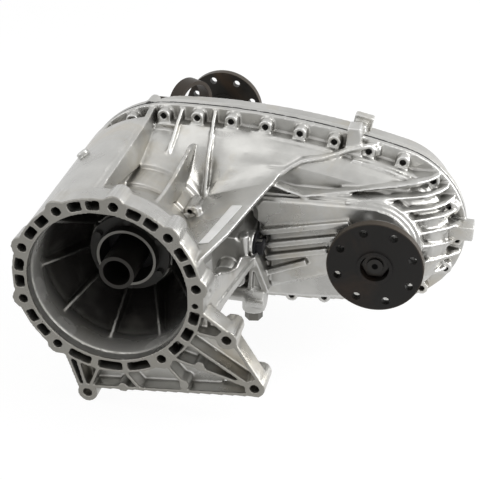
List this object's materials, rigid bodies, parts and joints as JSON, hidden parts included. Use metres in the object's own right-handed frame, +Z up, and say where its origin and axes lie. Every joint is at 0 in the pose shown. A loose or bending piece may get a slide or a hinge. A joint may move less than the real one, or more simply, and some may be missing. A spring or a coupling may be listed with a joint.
{
  "type": "transfer case",
  "caption": "Two-speed transfer case: bell flange and input, planetary gears, shift forks, chain drive to an offset front output flange, and a rear output flange on a tail housing.",
  "frame": {"origin": "centre of the bell flange's front face, on the main shaft's axis", "axes": "+Y along both shafts from the bell to the rear output, +X from the main shaft towards the front output, +Z up"},
  "size_m": [0.5343, 0.572, 0.3],
  "materials": {
    "cast_alloy": "as-cast, blasted",
    "sealant": "matt bead",
    "zinc_steel": "zinc plated",
    "dark_steel": "dark, oiled",
    "ring_steel": "worn",
    "gear_steel": "ground and oiled",
    "bearing_steel": "polished",
    "bronze": "turned",
    "seal_rubber": "satin",
    "black_plastic": "moulded",
    "label_white": "blank film"
  },
  "bodies": {
    "case": {"front_case": "cast_alloy", "rear_case": "cast_alloy", "case_sealant": "sealant", "case_bolts": "zinc_steel", "case_dowels": "zinc_steel", "bearing_retainer": "dark_steel", "retainer_screws": "zinc_steel", "input_seal": "seal_rubber", "input_bearing_outer": "bearing_steel", "rear_bearing_outer": "bearing_steel", "front_bearing_outer": "bearing_steel", "end_bearing_outer": "bearing_steel", "annulus_gear": "gear_steel", "thrust_washer": "gear_steel", "oil_pump": "gear_steel", "pickup_tube": "gear_steel", "oil_filter": "black_plastic", "tail_housing": "cast_alloy", "tail_screws": "zinc_steel", "tail_seal": "seal_rubber", "tail_bush": "bronze", "speed_sensor": "black_plastic", "hanger_ring": "ring_steel", "hanger_screws": "zinc_steel", "front_output_seal": "seal_rubber", "sector_seal": "seal_rubber", "drain_plug": "zinc_steel", "fill_plug": "zinc_steel", "breather": "zinc_steel", "blank_label": "label_white", "drive_chain": "gear_steel"},
    "input": {"input_shaft": "dark_steel", "input_bearing_inner": "bearing_steel"},
    "carrier": {"planet_carrier": "gear_steel", "planet_pins": "gear_steel"},
    "planet_1": {"planet_gear_1": "gear_steel"},
    "planet_2": {"planet_gear_2": "gear_steel"},
    "planet_3": {"planet_gear_3": "gear_steel"},
    "planet_4": {"planet_gear_4": "gear_steel"},
    "main": {"main_shaft": "gear_steel", "pilot_bearing": "bearing_steel", "rear_bearing_inner": "bearing_steel", "tone_ring": "gear_steel", "rear_output_flange": "dark_steel", "rear_nut": "dark_steel", "sprocket_bearing": "bearing_steel"},
    "range_sleeve": {"range_collar": "gear_steel"},
    "mode_sleeve": {"mode_collar": "gear_steel"},
    "drive_wheel": {"drive_sprocket": "gear_steel"},
    "front_output": {"front_output_shaft": "gear_steel", "driven_sprocket": "gear_steel", "front_bearing_inner": "bearing_steel", "end_bearing_inner": "bearing_steel", "front_output_flange": "dark_steel", "front_nut": "dark_steel"},
    "rail": {"shift_rail": "gear_steel", "range_fork": "gear_steel"},
    "mode_selector": {"mode_fork": "gear_steel"},
    "sector": {"sector_shaft": "gear_steel", "sector_cap": "black_plastic"}
  },
  "joints": [
    {"name": "input_spin", "type": "hinge", "parent": "case", "child": "input", "pos_m": [0, 0, 0], "axis": [0, 1, 0], "continuous": true},
    {"name": "carrier_spin", "type": "hinge", "parent": "case", "child": "carrier", "pos_m": [0, 0, 0], "axis": [0, 1, 0], "continuous": true},
    {"name": "planet_1_spin", "type": "hinge", "parent": "carrier", "child": "planet_1", "pos_m": [0.0544, 0.176, 0], "axis": [0, 1, 0], "continuous": true},
    {"name": "planet_2_spin", "type": "hinge", "parent": "carrier", "child": "planet_2", "pos_m": [0, 0.176, 0.0544], "axis": [0, 1, 0], "continuous": true},
    {"name": "planet_3_spin", "type": "hinge", "parent": "carrier", "child": "planet_3", "pos_m": [-0.0544, 0.176, 0], "axis": [0, 1, 0], "continuous": true},
    {"name": "planet_4_spin", "type": "hinge", "parent": "carrier", "child": "planet_4", "pos_m": [0, 0.176, -0.0544], "axis": [0, 1, 0], "continuous": true},
    {"name": "main_spin", "type": "hinge", "parent": "case", "child": "main", "pos_m": [0, 0, 0], "axis": [0, 1, 0], "continuous": true},
    {"name": "drive_wheel_spin", "type": "hinge", "parent": "case", "child": "drive_wheel", "pos_m": [0, 0, 0], "axis": [0, 1, 0], "continuous": true},
    {"name": "front_output_spin", "type": "hinge", "parent": "case", "child": "front_output", "pos_m": [0.297, 0.2, -0.01], "axis": [0, 1, 0], "continuous": true},
    {"name": "range_shift", "type": "slide", "parent": "case", "child": "rail", "axis": [0, 1, 0], "range_m": [0, 0.016]},
    {"name": "range_sleeve_slide", "type": "slide", "parent": "main", "child": "range_sleeve", "axis": [0, 1, 0], "range_m": [0, 0.016]},
    {"name": "sector_turn", "type": "hinge", "parent": "case", "child": "sector", "pos_m": [0.145, 0.15, -0.002], "axis": [1, 0, 0], "range_deg": [0, 42.05]},
    {"name": "mode_shift", "type": "slide", "parent": "case", "child": "mode_selector", "axis": [0, -1, 0], "range_m": [0, 0.008]},
    {"name": "mode_sleeve_slide", "type": "slide", "parent": "main", "child": "mode_sleeve", "axis": [0, -1, 0], "range_m": [0, 0.008]}
  ],
  "couplings": [
    {"joint": "carrier_spin", "follows": "input_spin", "ratio": 0.36765},
    {"joint": "planet_1_spin", "follows": "input_spin", "ratio": -1.7565},
    {"joint": "planet_2_spin", "follows": "input_spin", "ratio": -1.7565},
    {"joint": "planet_3_spin", "follows": "input_spin", "ratio": -1.7565},
    {"joint": "planet_4_spin", "follows": "input_spin", "ratio": -1.7565},
    {"joint": "main_spin", "follows": "input_spin", "ratio": 1},
    {"joint": "drive_wheel_spin", "follows": "input_spin", "ratio": 1},
    {"joint": "front_output_spin", "follows": "input_spin", "ratio": 1},
    {"joint": "range_sleeve_slide", "follows": "range_shift", "ratio": 1},
    {"joint": "sector_turn", "follows": "range_shift", "rad_per_m": 45.865},
    {"joint": "mode_sleeve_slide", "follows": "mode_shift", "ratio": 1}
  ]
}
